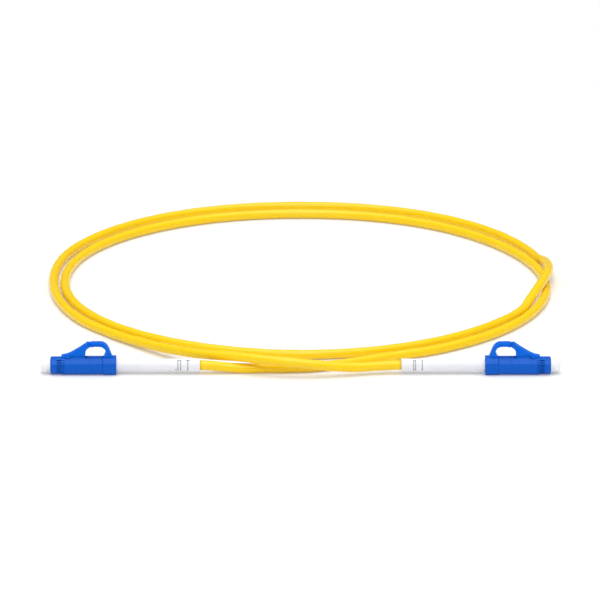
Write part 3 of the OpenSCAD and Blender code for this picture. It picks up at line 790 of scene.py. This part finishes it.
def turning_tree():
    """Geometry nodes that turn an outline of (u, radius) points about the axis, in millimetres."""
    tree, given = new_rule("turn an outline", "Piece", {
        "Outline": "Geometry", "Steps of the turn": "Int", "Points of the outline": "Int",
        "Finish": "Material"})
    steps, rows = given["Steps of the turn"], given["Points of the outline"]
    columns = add(tree, "ShaderNodeMath", {0: steps, 1: 1.0}, operation="ADD").outputs[0]
    grid = add(tree, "GeometryNodeMeshGrid", {"Size X": 1.0, "Size Y": 1.0, "Vertices X": columns,
                                             "Vertices Y": rows}).outputs["Mesh"]
    index = add(tree, "GeometryNodeInputIndex").outputs[0]
    column = add(tree, "ShaderNodeMath", {0: index, 1: rows}, operation="DIVIDE").outputs[0]
    column = add(tree, "ShaderNodeMath", {0: column}, operation="FLOOR").outputs[0]
    row = add(tree, "ShaderNodeMath", {0: index, 1: rows}, operation="MODULO").outputs[0]
    angle = add(tree, "ShaderNodeMath", {0: column, 1: steps}, operation="DIVIDE").outputs[0]
    angle = add(tree, "ShaderNodeMath", {0: angle, 1: math.tau}, operation="MULTIPLY").outputs[0]
    position = add(tree, "GeometryNodeInputPosition").outputs[0]
    asked = add(tree, "GeometryNodeSampleIndex", {"Geometry": given["Outline"], "Index": row},
                data_type="FLOAT_VECTOR", domain="POINT")
    vector_in = [socket for socket in asked.inputs if socket.name == "Value" and socket.enabled][0]
    tree.links.new(position, vector_in)
    vector_out = [socket for socket in asked.outputs if socket.enabled][0]
    parts = add(tree, "ShaderNodeSeparateXYZ", {0: vector_out}).outputs
    sine = add(tree, "ShaderNodeMath", {0: angle}, operation="SINE").outputs[0]
    cosine = add(tree, "ShaderNodeMath", {0: angle}, operation="COSINE").outputs[0]
    sideways = add(tree, "ShaderNodeMath", {0: parts["Y"], 1: sine}, operation="MULTIPLY").outputs[0]
    upwards = add(tree, "ShaderNodeMath", {0: parts["Y"], 1: cosine}, operation="MULTIPLY").outputs[0]
    there = add(tree, "ShaderNodeCombineXYZ", {"X": parts["X"], "Y": sideways, "Z": upwards}).outputs[0]
    moved = add(tree, "GeometryNodeSetPosition", {"Geometry": grid, "Position": there}).outputs[0]
    merged = add(tree, "GeometryNodeMergeByDistance", {"Geometry": moved, "Distance": 0.001}).outputs[0]
    whole = add(tree, "GeometryNodeRealizeInstances", {"Geometry": merged}).outputs[0]
    finished = add(tree, "GeometryNodeSetMaterial", {"Geometry": whole, "Material": given["Finish"]})
    add(tree, "NodeGroupOutput", {"Piece": finished.outputs[0]})
    return tree


TURN_STEPS = 64
turning = turning_tree()
print("nodes in the turning tree:", len(turning.nodes))

# %% [markdown]
# A tree runs as a modifier on an object that carries it. The object's evaluated shape is then copied as a
# plain mesh, and the carrier goes away. The named inputs are set before that copy is taken.

# %% Run a tree


def run_tree(tree, start_mesh, values):
    """Runs a geometry tree on a mesh with named values, and gives back a plain mesh."""
    carrier = put("carrier", start_mesh)
    modifier = carrier.modifiers.new("shape", "NODES")
    modifier.node_group = tree
    for item in tree.interface.items_tree:
        if item.name in values:
            modifier[item.identifier] = values[item.name]
    evaluated = carrier.evaluated_get(bpy.context.evaluated_depsgraph_get())
    made = bpy.data.meshes.new_from_object(evaluated)
    carrier.modifiers.remove(modifier)
    bpy.data.objects.remove(carrier)
    return made


print("inputs of the turning tree:", [item.name for item in turning.interface.items_tree])

# %% [markdown]
# ## Outlines with round corners
# An outline drawn as straight runs needs its corners rounded, as every moulded edge is. Each corner is
# given with a radius, and an arc that touches both runs takes its place. A corner without a radius stays
# sharp.

# %% Round an outline's corners


def rounded_outline(corners, arc_steps=5):
    """Turns (u, radius, rounding) corners into points, with an arc at each corner that has a rounding."""
    points = []
    for index, (u, r, rounding) in enumerate(corners):
        here = Vector((u, r))
        if not rounding or index in (0, len(corners) - 1):
            points.append(here)
            continue
        before = (Vector(corners[index - 1][:2]) - here).normalized()
        after = (Vector(corners[index + 1][:2]) - here).normalized()
        half = before.angle(after) / 2
        reach = rounding / math.tan(half)
        centre = here + (before + after).normalized() * rounding / math.sin(half)
        first, last = here + before * reach - centre, here + after * reach - centre
        sweep = first.angle_signed(last)
        for step in range(arc_steps + 1):
            turn = -sweep * step / arc_steps
            x, y = first
            points.append(centre + Vector((x * math.cos(turn) - y * math.sin(turn),
                                           x * math.sin(turn) + y * math.cos(turn))))
    return points


sample = rounded_outline([(0, 0, 0), (0, 2, 0.5), (3, 2, 0)])
print("a rounded corner as points:", [tuple(round(value, 2) for value in point) for point in sample])

# %% [markdown]
# With the tree and the outline at hand, a round piece takes one call: round the outline's corners, turn it,
# press in what has to be pressed in, and carry it to its end of the cord.

# %% From an outline to a piece


def turned_piece(name, corners, side, material, steps=TURN_STEPS, pressed=None):
    """A round piece from its outline's corners, at one end. pressed gives the share of its radius that a
    place keeps."""
    points = rounded_outline(corners)
    outline = bpy.data.meshes.new("outline")
    outline.from_pydata([(point.x, point.y, 0) for point in points], [], [])
    mesh = run_tree(turning, outline, {"Steps of the turn": steps, "Points of the outline": len(points),
                                       "Finish": material})
    mesh.name = name
    for vertex in mesh.vertices if pressed else []:
        u, across, v = vertex.co
        share = pressed(u, across, v)
        vertex.co = (u, across * share, v * share)
    place_at(side, mesh)
    finish_mesh(mesh)
    return mesh


print("ready: turned pieces with", TURN_STEPS, "steps")

# %% [markdown]
# ## The boot
# The boot is the soft white sleeve that keeps the cable from kinking where it enters the plug. It is plain
# over the crimp and a little thicker in its tail, where slots let it bend. Its outline goes once round:
# outside from front to back, and back inside along the bore, so the turned piece is a closed wall. Its
# length and thickness are read from the construction.

# %% Sizes of the boot
BOOT_ROUNDING = 0.1
TAIL_L = 8.6
TAIL_STEP = 0.1
TAIL_RAMP = 0.15
FRONT_WALL = 0.2
CABLE_CLEARANCE = 0.03
THROAT_GAP = 0.2
THROAT_TAPER = 0.4

low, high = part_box("right_boot")
BOOT_U = NOSE_X - high.x / MM
BOOT_END = NOSE_X - low.x / MM
TAIL_R = (high.z - low.z) / 2 / MM
BOOT_R = TAIL_R - TAIL_STEP
TAIL_U = BOOT_END - TAIL_L
SLEEVE_END = NOSE_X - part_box("right_crimp_sleeve")[0].x / MM
print("boot from u", round(BOOT_U, 2), "to", round(BOOT_END, 2))
print("radius", round(BOOT_R, 3), "and in the tail", round(TAIL_R, 3))

# %% [markdown]
# A slot is an arc over one side only, and short slits along the boot join the ends of some. SLOT_AT gives
# each slot's place along the tail and the sides that have it: 1 is the side where across is positive. SLITS
# gives each slit's side, its angle from the top, and where it starts and ends.

# %% Places of the slots
SLOT_W = 0.22
SLOT_DEPTH = 0.25
SLOT_WALL = 0.02
SLIT_DEPTH = 0.5
SLIT_HALF = 3
SLOT_FROM, SLOT_TO = 27, 121
SLOT_AT = {1.85: (-1,), 2.2: (1,), 2.68: (-1,), 4.28: (1,), 4.89: (-1, 1)}
SLITS = [
    (-1, SLOT_FROM, 1.74, 2.79), (-1, SLOT_FROM, 4.3, 5.5),
    (1, SLOT_FROM, 2.05, 2.35), (1, SLOT_FROM, 4.17, 5),
    (-1, SLOT_TO, 0.9, 1.96), (-1, SLOT_TO, 2.5, 2.8), (-1, SLOT_TO, 4.7, 5.05),
    (1, SLOT_TO, 2.05, 2.35), (1, SLOT_TO, 4.17, 5),
]
print("slots:", sum(len(sides) for sides in SLOT_AT.values()), "slits:", len(SLITS))

# %% [markdown]
# The tail is turned plain first, with rows of points where a slot or a slit begins and ends. Then the
# points that lie in a slot are pressed inwards, so each keeps only a share of its radius.

# %% Boots
BOOT_STEPS = 128


def boot_outline():
    """Corners of the boot's wall, outside from front to back and then inside to the front."""
    corners = [(BOOT_U, BOOT_R - FRONT_WALL, 0), (BOOT_U, BOOT_R, BOOT_ROUNDING),
               (TAIL_U - TAIL_RAMP, BOOT_R, 0.2), (TAIL_U + TAIL_RAMP, TAIL_R, 0.2)]
    borders = [centre + end * SLOT_W / 2 for centre in SLOT_AT for end in (-1, 1)]
    borders += [border for side, degrees, start, end in SLITS for border in (start, end)]
    rows = sorted({round(border + edge * SLOT_WALL, 3) for border in borders for edge in (-1, 1)})
    corners += [(TAIL_U + row, TAIL_R, 0) for row in rows]
    bore = CABLE_D / 2 + CABLE_CLEARANCE
    throat = SLEEVE_END + THROAT_GAP
    corners += [(BOOT_END, TAIL_R, BOOT_ROUNDING), (BOOT_END, bore, 0.08), (throat + THROAT_TAPER, bore, 0),
                (throat, BOOT_R - FRONT_WALL, 0), (BOOT_U, BOOT_R - FRONT_WALL, 0)]
    return corners


def in_slots(u, across, v):
    """The share of its radius that a place keeps: less than all in a slot, and all of it elsewhere."""
    degrees = math.degrees(math.atan2(abs(across), v))
    side = 1 if across > 0 else -1
    place = u - TAIL_U
    slot = SLOT_FROM < degrees < SLOT_TO and any(
        side in sides and abs(place - centre) < SLOT_W / 2 for centre, sides in SLOT_AT.items())
    slit = any(side == slit_side and abs(degrees - at) < SLIT_HALF and start < place < end
               for slit_side, at, start, end in SLITS)
    outside = math.hypot(across, v) > TAIL_R - CLOSE
    depth = SLIT_DEPTH * slit or SLOT_DEPTH * slot
    return 1 - depth / TAIL_R if outside else 1


for side in SIDES:
    name = f"{side}_boot_sleeve"
    mesh = turned_piece(name, boot_outline(), side, boot_plastic, BOOT_STEPS, in_slots)
    add_piece(name, mesh, ROOT, [f"{side}_boot"], boot_plastic)
    print(name, "faces:", len(mesh.polygons))

# %% [markdown]
# ## The dust cap
# The cap keeps dirt off the ferrule's polished tip. It is a short moulded cup with a full round edge at its
# closed end and a hollow stem that slips over the ferrule, so its outline runs from the pole over the head
# and back down the stem's bore to the axis.

# %% Dust caps
STEM_R = 1.25
STEM_BORE_R = 0.685
BORE_BOTTOM = -2.3
HEAD_END = -0.7
HEAD_ROUNDING = 0.55
CAP_NECK = 0.12

low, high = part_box("right_dust_cap")
CAP_R = (high.z - low.z) / 2 / MM
CAP_FRONT = NOSE_X - high.x / MM
STEM_END = NOSE_X - low.x / MM
cap_outline = [
    (CAP_FRONT, 0, 0), (CAP_FRONT, CAP_R, HEAD_ROUNDING),
    (HEAD_END - CAP_NECK, CAP_R, 0.06), (HEAD_END, CAP_R - CAP_NECK, 0.06),
    (0, CAP_R - CAP_NECK, 0.05), (0, STEM_R, 0.05), (STEM_END, STEM_R, 0.15), (STEM_END, STEM_BORE_R, 0.1),
    (BORE_BOTTOM, STEM_BORE_R, 0.1), (BORE_BOTTOM, 0, 0),
]
for side in SIDES:
    name = f"{side}_cap_shell"
    mesh = turned_piece(name, cap_outline, side, cap_plastic)
    add_piece(name, mesh, f"{side}_cap", [f"{side}_dust_cap"], cap_plastic)
print("cap from u", round(CAP_FRONT, 2), "to", round(STEM_END, 2), "radius", round(CAP_R, 2))

# %% [markdown]
# ## The spring
# Behind the ferrule a small coil spring keeps the two polished tips of a joint pressed together. A spring
# is the clearest case of a shape that follows a rule, so Geometry Nodes draws its line as a spiral and
# sweeps the wire along it.

# %% Build the winding tree
POINTS_A_TURN = 24
WIRE_SIDES = 10


def spring_tree():
    """Geometry nodes that draw a spiral up the Z axis and sweep a round wire along it."""
    tree, given = new_rule("wind a spring", "Spring", {
        "Start": "Geometry", "Turns": "Float", "Coil radius": "Float", "Free length": "Float",
        "Wire radius": "Float", "Finish": "Material"})
    line = add(tree, "GeometryNodeCurveSpiral", {
        "Resolution": POINTS_A_TURN, "Rotations": given["Turns"], "Start Radius": given["Coil radius"],
        "End Radius": given["Coil radius"], "Height": given["Free length"]}).outputs[0]
    section = add(tree, "GeometryNodeCurvePrimitiveCircle", {"Resolution": WIRE_SIDES,
                                                             "Radius": given["Wire radius"]}).outputs[0]
    wire = add(tree, "GeometryNodeCurveToMesh", {"Curve": line, "Profile Curve": section,
                                                 "Fill Caps": True}).outputs[0]
    whole = add(tree, "GeometryNodeRealizeInstances", {"Geometry": wire}).outputs[0]
    finished = add(tree, "GeometryNodeSetMaterial", {"Geometry": whole, "Material": given["Finish"]})
    add(tree, "NodeGroupOutput", {"Spring": finished.outputs[0]})
    return tree


winding = spring_tree()
print("nodes in the winding tree:", len(winding.nodes))

# %% [markdown]
# The spring's outer size comes from the construction. The winding tree draws it upright at the origin, so
# its points are turned into the plug's measure before they go to their end of the cord. When the ferrule is
# pushed in, the spring gets shorter.

# %% Springs
WIRE_D = 0.35
SPRING_TURNS = 6

spring_wire = turned_metal("stainless spring wire", "#B9BBBD", 0.18, 0.2)
for side in SIDES:
    low, high = (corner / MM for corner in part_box(f"{side}_spring"))
    name = f"{side}_spring_wire"
    mesh = run_tree(winding, bpy.data.meshes.new("nothing"), {
        "Turns": float(SPRING_TURNS), "Coil radius": (high.z - low.z - WIRE_D) / 2,
        "Free length": high.x - low.x - WIRE_D, "Wire radius": WIRE_D / 2, "Finish": spring_wire})
    front = NOSE_X - max(abs(low.x), abs(high.x))
    for vertex in mesh.vertices:
        x, y, z = vertex.co
        vertex.co = (front + WIRE_D / 2 + z, x, y)
    place_at(side, mesh)
    finish_mesh(mesh)
    spring = add_piece(name, mesh, ROOT, [f"{side}_spring"], spring_wire)
    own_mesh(spring)
print("spring turns:", SPRING_TURNS)

# %% [markdown]
# ## Table
# The table is plain white and reaches far past the view. Its paint is a little darker than white, so it can
# show a shadow, and it gives off a touch of light of its own, so that the bare table comes out white.

# %% Table
TABLE_REACH = 6.0
TABLE_GLOW = 0.14
table_mesh = bpy.data.meshes.new("table")
table_corners = [(x * TABLE_REACH, y * TABLE_REACH, 0) for x, y in ((-1, -1), (1, -1), (1, 1), (-1, 1))]
table_mesh.from_pydata(table_corners, [], [(0, 1, 2, 3)])
table = put("table", table_mesh)
paint, tree, surface = new_finish("matt white table")
tree.nodes.remove(surface)
matt = add(tree, "ShaderNodeBsdfDiffuse", {"Color": linear("#E0E0E0")}).outputs[0]
lift = add(tree, "ShaderNodeEmission", {"Strength": TABLE_GLOW}).outputs[0]
both = add(tree, "ShaderNodeAddShader", {0: matt, 1: lift}).outputs[0]
tree.links.new(both, tree.nodes["Material Output"].inputs["Surface"])
table_mesh.materials.append(paint)
print("table is", 2 * TABLE_REACH, "m wide")

# %% [markdown]
# ## Lamps
# The cord lies in a white room. The room is the world: even walls, and a wide lamp straight overhead that
# fades towards the sides and puts the broad line of light along the cable's upper side. So the brightness
# depends on how steeply a ray looks up. A glossy surface meets dimmer walls, so that the blue keeps its
# depth, and where the camera looks past the table it sees plain white.

# %% World
WALL_LEVEL = 0.5
MIRRORED_WALL_LEVEL = 0.15
OVERHEAD_LEVEL = 3.6
OVERHEAD_FOCUS = 10.0
world = bpy.data.worlds.new("white room")
world.use_nodes = True
bpy.context.scene.world = world
tree = world.node_tree
background = tree.nodes["Background"]
background.inputs["Color"].default_value = linear("#FFFFFF")
direction = add(tree, "ShaderNodeNewGeometry").outputs["Position"]
height = add(tree, "ShaderNodeSeparateXYZ", {0: direction}).outputs["Z"]
steep = add(tree, "ShaderNodeMath", {0: height}, operation="ABSOLUTE").outputs[0]
overhead = add(tree, "ShaderNodeMath", {0: steep, 1: OVERHEAD_FOCUS}, operation="POWER").outputs[0]
rays = add(tree, "ShaderNodeLightPath").outputs
walls = add(tree, "ShaderNodeMix", {"Factor": rays["Is Glossy Ray"], "A": WALL_LEVEL,
                                    "B": MIRRORED_WALL_LEVEL}).outputs["Result"]
level = add(tree, "ShaderNodeMath", {0: overhead, 1: OVERHEAD_LEVEL, 2: walls},
            operation="MULTIPLY_ADD").outputs[0]
seen = add(tree, "ShaderNodeMath", {0: rays["Is Camera Ray"], 1: rays["Is Transmission Ray"]},
           operation="MAXIMUM").outputs[0]
shown = add(tree, "ShaderNodeMix", {"Factor": seen, "A": level, "B": 1.0}).outputs["Result"]
tree.links.new(shown, background.inputs["Strength"])
print("nodes in the world:", len(tree.nodes))

# %% [markdown]
# One soft box hangs in front of the cord and above it. Its width makes the shadows soft, and the sloped
# sides of the blue body mirror it as a lighter band.

# %% Soft box
SOFT_BOX_SIZE = (0.5, 0.3)
SOFT_BOX_ELEVATION = math.radians(46)
SOFT_BOX_AWAY = 1.3
SOFT_BOX_WATTS = 3.0
lamp = bpy.data.lights.new("soft_box", "AREA")
lamp.shape = "RECTANGLE"
lamp.size, lamp.size_y = SOFT_BOX_SIZE
lamp.energy = SOFT_BOX_WATTS
soft_box = put("soft_box", lamp)
aim(soft_box, SOFT_BOX_ELEVATION, SOFT_BOX_AWAY)
bpy.context.scene.view_settings.view_transform = "Standard"
print("soft box at", [round(value, 2) for value in soft_box.location])
